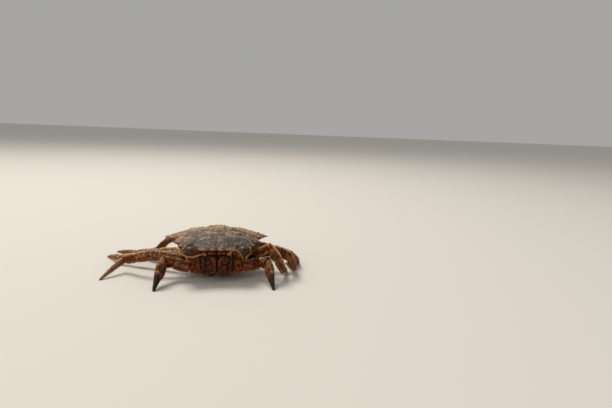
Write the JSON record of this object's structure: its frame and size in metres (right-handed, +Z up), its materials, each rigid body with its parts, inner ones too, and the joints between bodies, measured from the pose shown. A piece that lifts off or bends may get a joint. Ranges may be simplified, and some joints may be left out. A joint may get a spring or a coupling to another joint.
{
  "type": "helmet crab",
  "caption": "Small hairy shore crab with a toothed grey-brown shell, short dark-tipped claws, left legs folded and right legs stretched out, standing on the floor.",
  "frame": {"origin": "centre of the footprint at floor level", "axes": "+X to the crab's own left along its leg span, +Y from its eyes towards its tail, +Z up"},
  "size_m": [0.083, 0.0552, 0.0187],
  "materials": {
    "back_shell": "granular grey-brown shell mottled slate grey and tan, dull and slightly damp",
    "body_shell": "dark reddish-brown shell with rust-coloured bristles",
    "leg_shell": "rust-brown shell with dark blotches, tan ridges and orange bristles",
    "finger_tip": "near-black horny claw fingers, slightly polished",
    "cornea": "dark brown wet eye with a grey sheen",
    "feeler": "tan ringed feeler"
  },
  "bodies": {
    "root": {"abdomen": "body_shell", "antenna_left": "feeler", "antenna_right": "feeler", "antennule_left": "body_shell", "antennule_right": "body_shell", "carapace": "back_shell", "claw_carpus_left": "leg_shell", "claw_carpus_right": "leg_shell", "claw_finger_left": "finger_tip", "claw_finger_right": "finger_tip", "claw_merus_left": "leg_shell", "claw_merus_right": "leg_shell", "claw_palm_left": "leg_shell", "claw_palm_right": "leg_shell", "cornea_left": "cornea", "cornea_right": "cornea", "eyestalk_left": "leg_shell", "eyestalk_right": "leg_shell", "leg2_carpus_left": "leg_shell", "leg2_carpus_right": "leg_shell", "leg2_dactylus_left": "leg_shell", "leg2_dactylus_right": "leg_shell", "leg2_merus_left": "leg_shell", "leg2_merus_right": "leg_shell", "leg2_propodus_left": "leg_shell", "leg2_propodus_right": "leg_shell", "leg3_carpus_left": "leg_shell", "leg3_carpus_right": "leg_shell", "leg3_dactylus_left": "leg_shell", "leg3_dactylus_right": "leg_shell", "leg3_merus_left": "leg_shell", "leg3_merus_right": "leg_shell", "leg3_propodus_left": "leg_shell", "leg3_propodus_right": "leg_shell", "leg4_carpus_left": "leg_shell", "leg4_carpus_right": "leg_shell", "leg4_dactylus_left": "leg_shell", "leg4_dactylus_right": "leg_shell", "leg4_merus_left": "leg_shell", "leg4_merus_right": "leg_shell", "leg4_propodus_left": "leg_shell", "leg4_propodus_right": "leg_shell", "leg5_carpus_left": "leg_shell", "leg5_carpus_right": "leg_shell", "leg5_dactylus_left": "leg_shell", "leg5_dactylus_right": "leg_shell", "leg5_merus_left": "leg_shell", "leg5_merus_right": "leg_shell", "leg5_propodus_left": "leg_shell", "leg5_propodus_right": "leg_shell", "maxilliped_left": "body_shell", "maxilliped_right": "body_shell", "thorax": "body_shell"}
  },
  "joints": []
}
